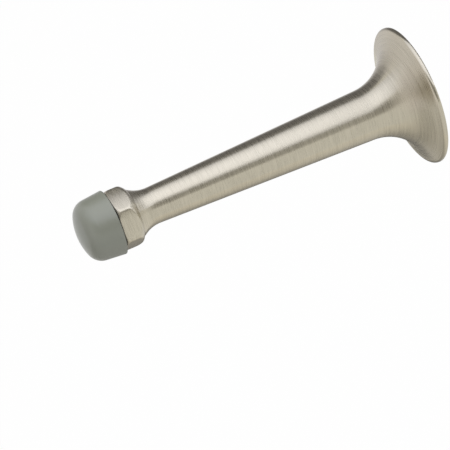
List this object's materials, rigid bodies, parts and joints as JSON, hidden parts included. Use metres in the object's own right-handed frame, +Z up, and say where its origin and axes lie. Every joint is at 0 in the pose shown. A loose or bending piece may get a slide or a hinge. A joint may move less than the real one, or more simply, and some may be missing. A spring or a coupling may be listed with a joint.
{
  "type": "baseboard door bumper",
  "caption": "Rigid door stop that screws to a baseboard: flared round base, tapered stem, hexagonal collar and a domed rubber tip that meets the door.",
  "frame": {"origin": "middle of the back face, where the base meets the baseboard", "axes": "+Y runs along the stem's axis into the wall, the stem stands out along -Y, +Z is up"},
  "size_m": [0.0382, 0.097, 0.0382],
  "materials": {
    "satin_nickel": "satin nickel plate on turned brass, fine brushing round the axis",
    "grey_rubber": "matt moulded grey rubber"
  },
  "bodies": {
    "root": {"bumper_body": "satin_nickel", "rubber_tip": "grey_rubber"}
  },
  "joints": []
}
